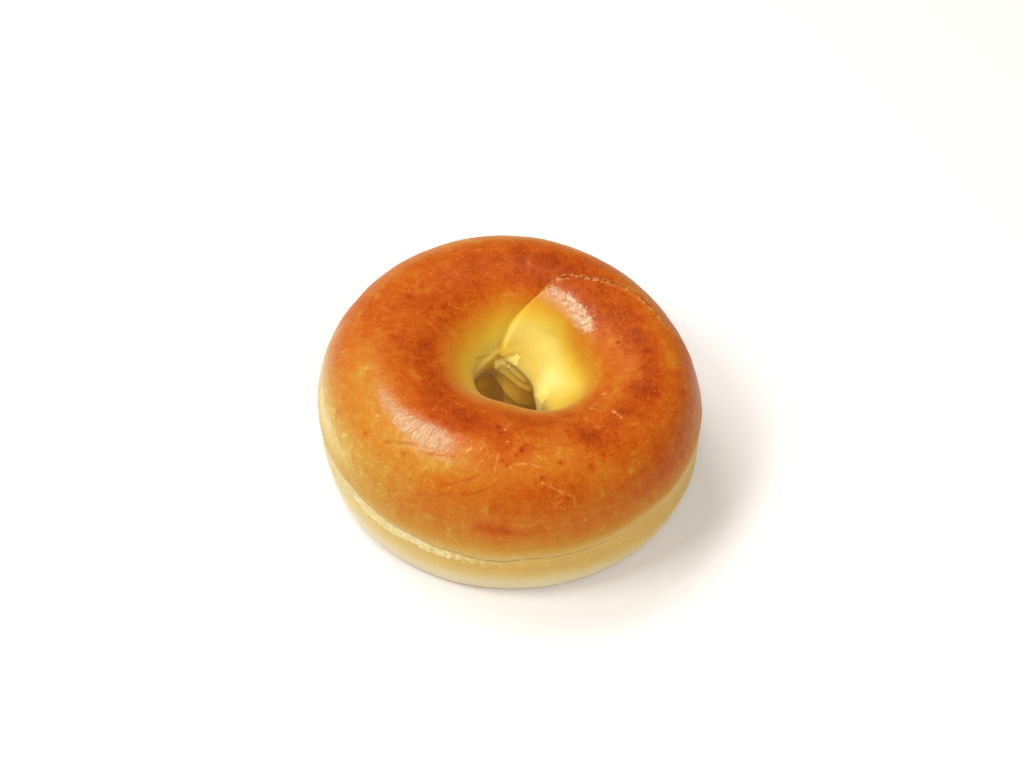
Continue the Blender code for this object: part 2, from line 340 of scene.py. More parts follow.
# Patterns in the crust, as (name, size in mm, detail, roughness, twist). The finest
# are wheat dough's pores, drawn about twice as coarse as they are so that they show.
GRAINS = (
    ("broad", 13.0, 4.0, 0.62, 0.0), ("fine", 2.6, 5.0, 0.72, 0.0), ("leather", 0.65, 3.0, 0.60, 0.0),
    ("light", 4.6, 6.0, 0.68, 0.6), ("dark", 6.5, 5.0, 0.66, 0.4), ("speckle", 0.8, 2.0, 0.50, 0.0),
    ("crumb edge", 1.6, 3.0, 0.50, 0.0), ("crumb", 1.3, 4.0, 0.70, 0.0), ("open crumb", 0.9, 4.0, 0.70, 0.0),
    ("waver", 5.0, 3.0, 0.50, 0.0), ("fray", 1.3, 3.0, 0.60, 0.0), ("broken", 3.0, 3.0, 0.50, 0.0),
    ("dotted", 1.7, 3.0, 0.50, 0.0), ("pale flecks", 1.1, 3.0, 0.50, 0.0), ("dark flecks", 1.5, 2.0, 0.50, 0.0),
    ("dried wash", 3.0, 5.0, 0.70, 0.6), ("lace", 1.1, 4.0, 0.70, 0.0), ("veins", 4.5, 3.0, 0.55, 1.4),
    ("crazing", 1.6, 4.0, 0.66, 0.8), ("skin", 1.7, 2.0, 0.50, 1.0), ("swells", 5.0, 2.0, 0.50, 0.0),
    ("seam lumps", 1.2, 3.0, 0.50, 0.0), ("uneven gloss", 2.2, 3.0, 0.50, 0.0),
)
# Patterns drawn out along the surface, as (name, size round the ring and size round
# the rope in mm, detail, roughness, twist).
STROKES = (
    ("streaks", 2.05, 22.7, 4.0, 0.60, 0.0), ("thin streaks", 0.615, 10.4, 3.0, 0.60, 0.0),
    ("wash", 15.4, 1.513, 4.0, 0.62, 0.3), ("fine wash", 4.61, 0.519, 3.0, 0.60, 0.0),
    ("ripples", 0.595, 2.42, 2.0, 0.50, 1.2), ("wrinkles", 1.845, 1.21, 3.0, 0.50, 0.8),
)
# Patterns that are cut to patches, as (name, level where a patch starts, where it is full).
CUTS = (
    ("light", 0.53, 0.70), ("dark", 0.58, 0.74), ("speckle", 0.36, 0.64), ("broken", 0.42, 0.58),
    ("dotted", 0.44, 0.58), ("pale flecks", 0.46, 0.60), ("dark flecks", 0.60, 0.70),
)
# How much browning each pattern adds: even mottling, and light and dark blotches.
MOTTLES = (
    ("broad", 0.36), ("fine", 0.44), ("streaks", 0.12), ("thin streaks", 0.08), ("wash", 0.15),
    ("fine wash", 0.12), ("leather", 0.22),
)
BLOTCHES = (("light", -0.20), ("dark", 0.10))
# Lines drawn in the skin, as (name, what they keep to, how much they waver and fray,
# half width in mm, or in turns for the burst line, the pattern that breaks them up,
# how much of them is left in its gaps).
LINES = (
    ("burst", "burst", 0.60, 0.50, 0.90, "broken", 0.45),
    ("groove", "groove", 0.40, 0.50, 0.80, "broken", 0.25),
    ("ridge", "ridge", 0.30, 0.45, 0.58, "dotted", 0.25),
    ("seam", "seam", 0.20, 0.50, 0.50, "dotted", 0.25),
    ("by seam", "seam", 0.0, 0.90, 2.20, "dotted", 1.0),
    ("ledge", "ledge", 0.0, 0.20, 0.60, "dotted", 1.0),
)
# Colours from pale to well baked.
CRUST_COLOURS = (
    (0.00, "#D6CDAC"), (0.15, "#C9B475"), (0.30, "#BB9546"), (0.42, "#B27E2B"), (0.54, "#B26C1D"),
    (0.66, "#B05F14"), (0.78, "#AB4F09"), (0.90, "#9E3F03"), (1.00, "#8A2F00"),
)
HOLE_COLOURS = (
    (0.00, "#F2D872"), (0.25, "#DDD081"), (0.35, "#D4BE5F"), (0.49, "#C9AB3C"), (0.65, "#C09226"),
    (0.79, "#B97818"), (1.00, "#AE5A09"),
)
DEEP_WALL_PAINTED_LIGHT = "#FFC040"
HOLE_CRUMB_COLOURS = ((0.30, "#F0CC58"), (0.48, "#FADE70"), (0.66, "#FFF0A0"))
BURST_CRUMB_COLOURS = ((0.30, "#CDB775"), (0.48, "#DDCD92"), (0.66, "#E3D9AE"))
# Colours of the pale film where the wash lies thick, partly a painted highlight.
LACE_PAINTED_HIGHLIGHT_COLOURS = ((0.34, "#BE925C"), (0.48, "#C4AE89"), (0.60, "#DBD2BE"))

# Floor, light and camera. A soft box is (name, azimuth, elevation, width, height,
# watts, whether the gloss mirrors it).
FLOOR_SIZE = 4.0
SOFT_BOXES = (
    ("key", -43, 62, 0.72, 0.44, 8.6, True),
    ("side", -112, 55, 0.42, 0.42, 8.0, True),
    ("fill", 168, 50, 0.50, 0.50, 8.6, False),
)
LAMP_DISTANCE = 1.2
ROOM_LIGHT = 0.34
ROOM_MIRRORED = 0.09
CAMERA_ELEVATION = 50.0
CAMERA_DISTANCE = 0.825
CAMERA_AIM = (0.00109, 0.00651)    # right and up from the middle of the burst line
CAMERA_LENS = 100.4


def ease(start, end, value):
    """0 before start, 1 after end, and a smooth rise between them."""
    share = np.clip((value - start) / (end - start), 0.0, 1.0)
    return share * share * (3.0 - 2.0 * share)


def bump(distance, reach):
    """1 at no distance, falling to almost nothing at the reach."""
    return np.exp(-(2.0 * distance / reach) ** 2)


def apart(angle, other):
    return (angle - other + 180.0) % 360.0 - 180.0


def patches(table, ring, turn):
    """The sum of soft patches given as (ring, turn, reach round the ring, reach round the rope, amount)."""
    total = 0.0
    for ring_at, turn_at, ring_reach, turn_reach, amount in table:
        total = total + amount * bump(apart(ring, ring_at), ring_reach) * bump(apart(turn, turn_at), turn_reach)
    return total


def lobes(table, ring):
    return sum(size * np.cos(count * np.radians(ring - way)) for count, size, way in table)


def read_off(table, value):
    first, second = zip(*table)
    return np.interp(value, first, second)


def squared(value):
    return np.sign(value) * np.abs(value) ** (2.0 / SQUARENESS)


def rest_on_foot(drop):
    """The drop below the burst line, stopped at the flat foot with a soft edge."""
    eased = FOOT_DROP - (FOOT_DROP + FOOT_EASE - drop) ** 2 / (4.0 * FOOT_EASE)
    above_foot = drop <= FOOT_DROP - FOOT_EASE
    on_foot = drop >= FOOT_DROP + FOOT_EASE
    return np.where(above_foot, drop, np.where(on_foot, FOOT_DROP, eased))


def along_seam(column, turn):
    """The ring of a column, bent so that one column runs along the wrapped end's edge."""
    edge = read_off(WRAP_EDGE, turn)
    before = (column - GRID_EVEN_FROM) / (SEAM_COLUMN - GRID_EVEN_FROM)
    after = (GRID_EVEN_TO - column) / (GRID_EVEN_TO - SEAM_COLUMN)
    in_front = (column > GRID_EVEN_FROM) & (column <= SEAM_COLUMN)
    behind = (column > SEAM_COLUMN) & (column < GRID_EVEN_TO)
    ring = np.where(in_front, GRID_EVEN_FROM + before * (edge - GRID_EVEN_FROM), column)
    return np.where(behind, GRID_EVEN_TO - after * (GRID_EVEN_TO - edge), ring)


def wrap_height(ring, turn):
    """How far the wrapped end, its shoulder and its tongue stand above the dough under them."""
    in_hole = ease(*TONGUE_TURNS, turn)
    towards_hole = ease(*WRAP_STEP_TURNS, turn)
    behind_edge = read_off(WRAP_EDGE, turn) - ring
    above_tip = read_off(WRAP_TIP, ring) - turn
    step_reach = WRAP_STEP[0] + (WRAP_STEP[1] - WRAP_STEP[0]) * towards_hole
    rounded = np.sin(np.radians(90.0 * np.clip(1.0 + behind_edge / step_reach, 0.0, 1.0)))
    step = rounded * ease(-TIP_STEP, 0.0, above_tip)
    melt_from = WRAP_MELTS[0] + (TONGUE_MELTS[0] - WRAP_MELTS[0]) * in_hole
    melt_to = WRAP_MELTS[1] + (TONGUE_MELTS[1] - WRAP_MELTS[1]) * in_hole
    melt = 1.0 - ease(melt_from, melt_to, behind_edge)
    tongue = TONGUE_LIFT * in_hole * bump(apart(ring, TONGUE_RING), TONGUE_REACH)
    shoulder = bump(apart(ring, SHOULDER_RING), SHOULDER_REACH[0])
    shoulder = shoulder * bump(turn - SHOULDER_TURN, SHOULDER_REACH[1])
    dip = SEAM_DIP * (SEAM_DIP_OUTSIDE + (1.0 - SEAM_DIP_OUTSIDE) * towards_hole)
    dip = dip * bump(np.maximum(0.0, -behind_edge), SEAM_DIP_REACH) * (1.0 - step)
    lift = ((WRAP_LIFT + tongue) * melt + SHOULDER_LIFT * shoulder) * step
    return (lift - dip * ease(*SEAM_DIP_TIP, above_tip)) * ease(*WRAP_SHOWS, turn)


def ledge_height(ring, turn):
    along = bump(apart(ring, LEDGE_RING), LEDGE_REACH)
    below_line = turn - LEDGE_TURN
    return LEDGE_SIZE * along * ease(-LEDGE_RISE, 0.0, below_line) * (1.0 - ease(0.0, LEDGE_FALL, below_line))


def hollow_depth(ring, turn):
    around = ease(*HOLLOW_STARTS, ring) * (1.0 - ease(*HOLLOW_ENDS, ring))
    around = HOLLOW_LEAST + (1.0 - HOLLOW_LEAST) * around
    return HOLLOW_DEPTH * around * ease(*HOLLOW_DROPS, turn) * (1.0 - ease(*HOLLOW_CLOSES, turn))


def rim_height(ring, turn):
    swelling = sum(size * bump(apart(ring, place), reach) for place, reach, size in RIM_SWELLS)
    return swelling * bump(turn - RIM_TURN, RIM_REACH)


def above_burst(ring, turn):
    """Turn above the wavering burst line."""
    return apart(turn, 0.0) - lobes(BURST_WAVER, ring)


def burst_kinds(ring):
    """Shares of torn, cracked and folded dough in the burst line here."""
    torn = bump(apart(ring, BURST_TORN[0]), BURST_TORN[1])
    crack = bump(apart(ring, BURST_CRACK[0]), BURST_CRACK[1])
    return torn, crack, np.clip(1.0 - torn - crack, 0.0, 1.0)


def burst_depth(ring, turn):
    above = above_burst(ring, turn)
    torn, crack, fold = burst_kinds(ring)
    depth = 0.0
    for share, deep, reach in (
        (torn, TORN_DEPTH, TORN_REACH), (crack, CRACK_DEPTH, CRACK_REACH), (fold, FOLD_DEPTH, FOLD_REACH),
    ):
        depth = depth + share * deep * bump(above, np.where(above > 0.0, 2.0 * reach[0], 2.0 * reach[1]))
    return depth - LIP_HEIGHT * bump(above - LIP_TURN, LIP_REACH)


def dough(ring, turn):
    """The place on the roll's surface for a ring and a turn."""
    side = squared(np.cos(np.radians(turn)))
    height = squared(np.sin(np.radians(turn)))
    half_width = np.where(side > 0.0, OUTER_RADIUS - CROWN_RADIUS, CROWN_RADIUS - HOLE_RADIUS)
    radius = CROWN_RADIUS + half_width * side
    inwards = (OUTER_RADIUS - radius) / (OUTER_RADIUS - HOLE_RADIUS)
    radius = radius + lobes(OUTLINE_LOBES, ring) * (1.0 - inwards)
    upper = CROWN_RISE * (1.0 + lobes(CROWN_LOBES, ring)) * height
    lower = -rest_on_foot(-BELLY_DROP * height)
    level = np.where(height > 0.0, upper, lower)
    near_burst = np.where(height > 0.0, 1.0 - height, 1.0 + level / FOOT_DROP)
    level = level + lobes(BURST_LEVEL_LOBES, ring) * np.maximum(0.0, side) * near_burst
    relief = wrap_height(ring, turn) + ledge_height(ring, turn) + rim_height(ring, turn)
    relief = relief + patches((LOBE,), ring, turn) - burst_depth(ring, turn)
    relief = relief * np.minimum(1.0, (level + FOOT_DROP) / FOOT_EASE)
    radius = radius + relief * np.cos(np.radians(turn)) + hollow_depth(ring, turn)
    level = level + relief * np.sin(np.radians(turn))
    lean = inwards * ease(0.0, HOLE_LEAN_REACH, height)
    x = radius * np.sin(np.radians(ring)) + HOLE_LEAN[0] * lean
    y = -radius * np.cos(np.radians(ring)) + HOLE_LEAN[1] * lean
    return np.stack([x, y, level + FOOT_DROP], axis=-1)


def spun_rope():
    """A thick ring of quads, spun from one circle."""
    middle = HOLE_RADIUS + ROPE_RADIUS
    bpy.ops.mesh.primitive_circle_add(
        vertices=TURN_STEPS, radius=ROPE_RADIUS, location=(middle, 0, 0), rotation=(radians(90), 0, 0),
    )
    rope = bpy.context.object
    bpy.ops.object.transform_apply(location=True, rotation=True, scale=True)
    bpy.ops.object.mode_set(mode="EDIT")
    bpy.ops.mesh.select_all(action="SELECT")
    bpy.ops.mesh.spin(steps=RING_STEPS, angle=2 * pi, use_auto_merge=True, center=(0, 0, 0), axis=(0, 0, 1))
    bpy.ops.mesh.select_all(action="SELECT")
    bpy.ops.mesh.remove_doubles(threshold=1e-6)
    bpy.ops.mesh.normals_make_consistent(inside=False)
    bpy.ops.object.mode_set(mode="OBJECT")
    return rope, middle


def ring_and_turn(rope, middle):
    """The ring and the turn that each vertex of the spun rope stands for."""
    flat = np.empty(len(rope.data.vertices) * 3, np.float32)
    rope.data.vertices.foreach_get("co", flat)
    x, y, z = flat.reshape(-1, 3).astype(float).T
    column = np.degrees(np.arctan2(x, -y)) % 360.0
    row = np.round(np.degrees(np.arctan2(z, np.hypot(x, y) - middle)) % 360.0 / 360.0 * TURN_STEPS)
    row_marks = np.cumsum([0] + [rows for turn, rows in TURN_ROWS])
    turn_marks = [turn for turn, rows in TURN_ROWS] + [TURN_ROWS[0][0] + 360]
    turn = np.interp(row, row_marks, turn_marks) % 360.0
    return along_seam(column, turn) % 360.0, turn


def nearest(lines, points):
    """Distance from every point to the nearest of these lines on the surface, in mm."""
    least = np.full(len(points), 1.0)
    for line in lines:
        rings, turns = zip(*line)
        knots = dough(np.array(rings) % 360.0, np.array(turns, float))
        for start, end in zip(knots, knots[1:]):
            along = end - start
            share = np.clip((points - start) @ along / (along @ along), 0.0, 1.0)
            away = np.linalg.norm(points - start - share[:, None] * along, axis=1)
            least = np.minimum(least, away)
    return least * 1000.0


def spots(places, wide, points):
    """Nearness to the middle of the nearest spot, from 1 in the middle to 0 at its edge and beyond."""
    most = np.full(len(points), -1.0)
    for ring_at, turn_at, radius in places:
        centre = dough(np.array([ring_at % 360.0]), np.array([float(turn_at)]))[0]
        away = np.linalg.norm(points - centre, axis=1) * 1000.0
        most = np.maximum(most, 1.0 - away / (radius * wide))
    return most


def slack_height(ring, turn, points):
    """Folds and lumps of slack dough in the hole, fading out at the foot."""
    folded = bump(nearest(FOLDS, points), 2.0 * FOLD_REACH_MM) * (1.0 - ease(*FOLDS_END, ring))
    slack = FOLD_HEIGHT * folded - VALLEY_DEPTH * bump(nearest((VALLEY,), points), 2.0 * VALLEY_REACH)
    return (slack + patches(SLACK_LUMPS, ring, turn)) * ease(*SLACK_FROM_FOOT, points[:, 2])


def spread_inwards(ring, turn):
    """How far the foot of the hole's wall spreads, and the torn end leans, into the hole."""
    low = ease(*SPREAD_STARTS, turn) * (1.0 - ease(*SPREAD_ENDS, turn))
    foot = SPREAD * bump(apart(ring, SPREAD_AROUND[0]), SPREAD_AROUND[1]) * low
    return foot + patches((TORN_END_LEAN,), ring, turn)


def crumb_share(ring, turn):
    """Where the dough tore and its crumb lies open."""
    above = above_burst(ring, turn)
    burst = burst_kinds(ring)[0] * ease(*BURST_CRUMB_LOW, above) * (1.0 - ease(*BURST_CRUMB_HIGH, above))
    torn_end = ease(*TORN_END_STARTS, turn) * (1.0 - ease(*TORN_END_ENDS, turn))
    torn_end = torn_end * bump(apart(ring, TORN_END[0]), TORN_END[1])
    return np.clip(burst + torn_end + patches((LEDGE_CRUMB,), ring, turn), 0.0, 1.0)


def crust_shares(ring, turn, behind_edge):
    """How brown the crust is, and the shares of crown, hole and deep wall in it."""
    above = above_burst(ring, turn)
    turn_up = apart(turn, 90.0) + 90.0     # -90 under the foot, 90 on the crown, 270 under it again
    above_tip = read_off(WRAP_TIP, ring) - turn
    on_flap = ease(*FLAP_EDGE, behind_edge) * ease(*FLAP_ENDS, ring) * ease(*FLAP_TIP, above_tip)
    past_middle = turn_up - read_off(HOLE_MIDDLE, ring) + FLAP_GOLD * on_flap
    hole = ease(*HOLE_STARTS, past_middle) * (1.0 - ease(*HOLE_ENDS, turn_up))
    crown = ease(*CROWN_STARTS, above) * (1.0 - ease(*CROWN_ENDS, past_middle))
    belly = (1.0 - ease(*BELLY_ENDS, above)) * (1.0 - hole)
    deep = hole * ease(*DEEP_STARTS, turn_up) * (1.0 - ease(*DEEP_ENDS, turn_up))
    deep = deep * bump(apart(ring, DEEP_AROUND[0]), DEEP_AROUND[1])

    brown = np.minimum(read_off(CRUST_BROWNING, turn_up), read_off(HOLE_BROWNING, past_middle))
    brown = brown + crown * (patches(BROWNED, ring, turn) - patches(PALE_AND_PAINTED_LIGHT, ring, turn))
    near_rim = bump(apart(ring, NEAR_RIM_AROUND[0]), NEAR_RIM_AROUND[1]) * ease(*NEAR_RIM_STARTS, turn_up)
    brown = np.maximum(brown, NEAR_RIM * near_rim)
    flap_edge = bump(behind_edge - FLAP_EDGE_AT[0], FLAP_EDGE_AT[1]) * ease(*FLAP_EDGE_STARTS, turn)
    brown = brown + belly * patches(BELLY_TONE_PAINTED_LIGHT_AND_SHADE, ring, turn)
    brown = brown + hole * (FLAP_EDGE_PAINTED_SHADE * flap_edge + patches(HOLE_TONE_PAINTED_SHADE_AND_LIGHT, ring, turn))
    return brown + FOOT_BROWN * ease(*FOOT_STARTS, turn_up), crown, hole, deep


def roughen(piece, name, share, strength, size, depth=2):
    """Lumps of this strength and size, where the share of each vertex allows them."""
    group = piece.vertex_groups.new(name=name)
    levels = np.round(share * 20.0).astype(int)
    for level in range(1, 21):
        chosen = np.nonzero(levels == level)[0]
        if len(chosen):
            group.add(chosen.tolist(), level / 20.0, "REPLACE")
    grain = bpy.data.textures.new(name, "CLOUDS")
    grain.noise_scale = size
    grain.noise_depth = depth
    lumps = piece.modifiers.new(name, "DISPLACE")
    lumps.texture = grain
    lumps.texture_coords = "LOCAL"
    lumps.vertex_group = name
    lumps.strength = strength
    lumps.mid_level = 0.5
    bpy.context.view_layer.objects.active = piece
    bpy.ops.object.modifier_apply(modifier=name)


def baked_crust():
    """The ring of dough with its folds, lumps and torn crumb, and what its finish follows kept on it."""
    crust, rope_middle = spun_rope()
    crust.name = "crust"
    crust.data.name = "crust"
    ring, turn = ring_and_turn(crust, rope_middle)
    points = dough(ring, turn)
    behind_edge = read_off(WRAP_EDGE, turn) - ring
    brown, crown, hole, deep = crust_shares(ring, turn, behind_edge)
    crumb = crumb_share(ring, turn)
    seam_line = [(read_off(WRAP_EDGE, at), at) for at in range(*SEAM_SHOWS)]
    by_seam = (turn > SEAM_COUNTS[0]) & (turn < SEAM_COUNTS[1])
    past_seam = (ring > GLAZED_TO_SEAM[0]) & (ring < GLAZED_TO_SEAM[1])
    glazed = patches(GLAZED, ring, turn) * np.where(past_seam, ease(*SEAM_EDGE, behind_edge), 1.0)
    finish = {
        "brown": brown, "crown": crown, "hole": hole, "deep": deep, "crumbly": crumb,
        "groove": nearest(GROOVES, points),
        "ridge": nearest(RIDGES, points),
        "ledge": nearest((LEDGE_LINE, NOTCH), points),
        "seam": np.where(by_seam, nearest((seam_line,), points) * np.sign(behind_edge), FAR_MM),
        "burst": above_burst(ring, turn),
        "crack": burst_kinds(ring)[1],
        "pit": spots(PITS, PIT_WIDE, points),
        "halo": spots(PITS, HALO_WIDE, points),
        "speck": spots(GLINT_SPECKS, SPECK_WIDE, points),
        "glazed": GLAZED_ELSEWHERE + glazed,
        "rumpled": patches(RUMPLED, ring, turn),
    }

    sine, cosine = np.sin(np.radians(ring)), np.cos(np.radians(ring))
    level, upright = np.cos(np.radians(turn)), np.sin(np.radians(turn))
    outwards = np.stack([sine * level, -cosine * level, upright], axis=-1)
    points = points + outwards * slack_height(ring, turn, points)[:, None]
    inwards = np.stack([-sine, cosine, 0.0 * sine], axis=-1)
    points = points + inwards * spread_inwards(ring, turn)[:, None]
    middle = (points.min(axis=0) + points.max(axis=0)) / 2.0
    points[:, :2] -= middle[:2]
    crust.data.vertices.foreach_set("co", points.reshape(-1).astype(np.float32))
    crust.data.update()

    off_foot = np.clip(points[:, 2] / LUMPS_FROM_FOOT, 0.0, 1.0)
    on_belly = (1.0 - ease(*BELLY_LUMPS_END, above_burst(ring, turn))) * (1.0 - hole)
    roughen(crust, "lumps", LUMPS_OFF_CROWN * off_foot + (1.0 - LUMPS_OFF_CROWN) * crown, *CROWN_LUMPS)
    roughen(crust, "foot", off_foot * on_belly, *BELLY_LUMPS)
    roughen(crust, "crumb", crumb * off_foot, *CRUMB_LUMPS, depth=3)
    crust.data.shade_smooth()

    for name, values in finish.items():
        store = crust.data.attributes.new(name, "FLOAT", "POINT")
        store.data.foreach_set("value", values.astype(np.float32))
    # The way along the surface in mm, round the ring in x and y and round the rope in z.
    turn_up = apart(turn, 90.0) + 90.0
    way = np.stack([RING_MM * cosine, RING_MM * sine, ROPE_MM * np.radians(turn_up)], axis=-1)
    store = crust.data.attributes.new("way", "FLOAT_VECTOR", "POINT")
    store.data.foreach_set("vector", way.reshape(-1).astype(np.float32))
    return crust, middle


def linear(code):
    """A hex colour turned linear."""
    shares = [int(code[place:place + 2], 16) / 255.0 for place in (1, 3, 5)]
    shares = [share / 12.92 if share <= 0.04045 else ((share + 0.055) / 1.055) ** 2.4 for share in shares]
    return (*shares, 1.0)


def add(tree, kind, sockets=(), out=0, stops=(), **settings):
    """A node with its settings, links and colour stops, given back as one of its outputs.

    A socket, named or in order, takes a value or another node's output to be linked.
    """
    node = tree.nodes.new("ShaderNode" + kind)
    for name, value in settings.items():
        setattr(node, name, value)
    for name, value in sockets.items() if isinstance(sockets, dict) else enumerate(sockets):
        if isinstance(value, bpy.types.NodeSocket):
            tree.links.new(value, node.inputs[name])
        else:
            node.inputs[name].default_value = value
    while stops and len(node.color_ramp.elements) < len(stops):
        node.color_ramp.elements.new(0.5)
    for count, (place, code) in enumerate(stops):
        node.color_ramp.elements[count].position = place
        node.color_ramp.elements[count].color = linear(code)
    return node.outputs[out]


def fresh(name):
    material = bpy.data.materials.new(name)
    material.use_nodes = True
    return material, material.node_tree.nodes["Principled BSDF"]


def egg_washed_crust():
    """Wheat dough brushed with egg wash and baked.

    The eye gets a satin orange-brown skin with a clear coat that breaks the light up
    where the wash dried thick and crinkled, a matt cream skin on the belly and in the
    hole, where no wash came, and open crumb where it tore. Light goes a few
    millimetres into it, which warms the shaded parts.
    """
    material, shader = fresh("baked egg-washed crust")
    tree = material.node_tree
    kept = {name: add(tree, "Attribute", out="Fac", attribute_name=name) for name in FINISH}
    crown, hole, rumpled = kept["crown"], kept["hole"], kept["rumpled"]

    place = add(tree, "TexCoord", out="Object")
    grain = {}
    for name, size_mm, detail, rough, twist in GRAINS:
        grain[name] = add(tree, "TexNoise", {
            "Vector": place, "Scale": 1000.0 / size_mm,
            "Detail": detail, "Roughness": rough, "Distortion": twist,
        }, out="Fac")
    way = add(tree, "Attribute", out="Vector", attribute_name="way")
    for name, ring_mm, rope_mm, detail, rough, twist in STROKES:
        per_mm = (1.0 / ring_mm, 1.0 / ring_mm, 1.0 / rope_mm)
        drawn = add(tree, "VectorMath", (way, per_mm), operation="MULTIPLY")
        grain[name] = add(tree, "TexNoise", {
            "Vector": drawn, "Scale": 1.0,
            "Detail": detail, "Roughness": rough, "Distortion": twist,
        }, out="Fac")
    for name, low, high in CUTS:
        grain[name] = add(tree, "MapRange", (grain[name], low, high), interpolation_type="SMOOTHSTEP")

    # Browning, in patches of about a centimetre with finer mottling in them, and the
    # marks that the brush left in the wash, round the ring and down its side.
    mottle = -sum(amount for name, amount in MOTTLES) / 2.0
    for name, amount in MOTTLES + BLOTCHES:
        mottle = add(tree, "Math", (grain[name], amount, mottle), operation="MULTIPLY_ADD")
    mostly_crown = add(tree, "Math", (crown, 0.80, 0.20), operation="MULTIPLY_ADD")
    baked = add(tree, "MapRange", (kept["brown"], 0.0, 0.65, 0.30, 1.0), interpolation_type="SMOOTHSTEP")
    share = add(tree, "Math", (mostly_crown, baked), operation="MULTIPLY")
    brown = add(tree, "Math", (mottle, share, kept["brown"]), operation="MULTIPLY_ADD")
    hole_brown = add(tree, "Math", (brown, 0.25), operation="ADD")
    crust_colour = add(tree, "ValToRGB", (brown,), stops=CRUST_COLOURS)
    hole_colour = add(tree, "ValToRGB", (hole_brown,), stops=HOLE_COLOURS)
    # Painted light: the deep wall in the flap's shade is lightened to a bright gold.
    deep = add(tree, "Math", (kept["deep"], 0.85), operation="MULTIPLY")
    hole_colour = add(tree, "Mix", {0: deep, 6: hole_colour, 7: linear(DEEP_WALL_PAINTED_LIGHT)}, out=2, data_type="RGBA")
    colour = add(tree, "Mix", {0: hole, 6: crust_colour, 7: hole_colour}, out=2, data_type="RGBA")

    # Torn crumb: open, pale yellow, with a ragged edge.
    ragged = add(tree, "Math", (grain["crumb edge"], 0.9, kept["crumbly"]), operation="MULTIPLY_ADD")
    open_crumb = add(tree, "MapRange", (ragged, 0.80, 1.05), interpolation_type="SMOOTHSTEP")
    whole_skin = add(tree, "MapRange", (ragged, 0.80, 1.05, 1.0, 0.0), interpolation_type="SMOOTHSTEP")
    hole_crumb = add(tree, "ValToRGB", (grain["crumb"],), stops=HOLE_CRUMB_COLOURS)
    burst_crumb = add(tree, "ValToRGB", (grain["crumb"],), stops=BURST_CRUMB_COLOURS)
    crumb_colour = add(tree, "Mix", {0: hole, 6: burst_crumb, 7: hole_crumb}, out=2, data_type="RGBA")
    colour = add(tree, "Mix", {0: open_crumb, 6: colour, 7: crumb_colour}, out=2, data_type="RGBA")

    # The crack in the burst line, the seam, wrinkles and the ledge, as wavering and
    # frayed lines, most of them broken up. Their dark colour is partly painted shade in
    # the cracks and grooves and under the lips; the ridges' pale colour is a painted glint.
    waver = add(tree, "Math", (grain["waver"], 2.2, -1.1), operation="MULTIPLY_ADD")
    fray = add(tree, "Math", (grain["fray"], 1.6, -0.8), operation="MULTIPLY_ADD")
    lines = {}
    for name, distance, wavering, fraying, half_wide, breaks, least in LINES:
        away = add(tree, "Math", (waver, wavering, kept[distance]), operation="MULTIPLY_ADD")
        away = add(tree, "Math", (fray, fraying, away), operation="MULTIPLY_ADD")
        away = add(tree, "Math", (away,), operation="ABSOLUTE")
        near = add(tree, "MapRange", (away, 0.0, half_wide, 1.0, 0.0), interpolation_type="SMOOTHSTEP")
        unbroken = add(tree, "Math", (grain[breaks], 1.0 - least, least), operation="MULTIPLY_ADD")
        lines[name] = add(tree, "Math", (near, unbroken), operation="MULTIPLY")
    cracked = add(tree, "Math", (kept["crack"], 0.35, 0.60), operation="MULTIPLY_ADD")
    burst_line = add(tree, "Math", (lines["burst"], cracked), operation="MULTIPLY")
    by_seam = add(tree, "Math", (lines["by seam"], crown), operation="MULTIPLY")
    seam = add(tree, "Math", (lines["seam"], crown), operation="MULTIPLY")
    pale_flecks = add(tree, "Math", (by_seam, grain["pale flecks"]), operation="MULTIPLY")
    dark_flecks = add(tree, "Math", (by_seam, grain["dark flecks"]), operation="MULTIPLY")

    # Pits with a burnt ring round them, pale specks painted as glints, and dark speckling all over.
    pits = add(tree, "Math", (fray, 0.9, kept["pit"]), operation="MULTIPLY_ADD")
    pits = add(tree, "MapRange", (pits, 0.05, 0.95), interpolation_type="SMOOTHSTEP")
    halos = add(tree, "MapRange", (kept["halo"], 0.0, 0.9), interpolation_type="SMOOTHSTEP")
    specks = add(tree, "Math", (fray, 0.7, kept["speck"]), operation="MULTIPLY_ADD")
    specks = add(tree, "MapRange", (specks, 0.10, 1.0), interpolation_type="SMOOTHSTEP")
    speckling = add(tree, "Math", (crown, 0.05, 0.04), operation="MULTIPLY_ADD")
    speckling = add(tree, "Math", (grain["speckle"], speckling), operation="MULTIPLY")
    # Marks painted over the crust: the grooves, ledge line, burst line and seam darker, partly as painted
    # shade; the ridges and specks paler, as painted glints.
    for mask, amount, code in (
        (lines["groove"], 0.42, "#953303"), (lines["ridge"], 0.42, "#D89C5C"), (halos, 0.40, "#AB4106"),
        (pits, 0.75, "#8A2604"), (specks, 0.72, "#E0B070"), (burst_line, 0.70, "#96621C"),
        (lines["ledge"], 0.55, "#8A4C08"), (pale_flecks, 0.75, "#CB9B5E"), (dark_flecks, 0.75, "#6C2A08"),
        (seam, 0.75, "#611F03"), (speckling, 1.0, "#5A2400"),
    ):
        share = add(tree, "Math", (mask, amount), operation="MULTIPLY")
        colour = add(tree, "Mix", {0: share, 6: colour, 7: linear(code)}, out=2, data_type="RGBA")
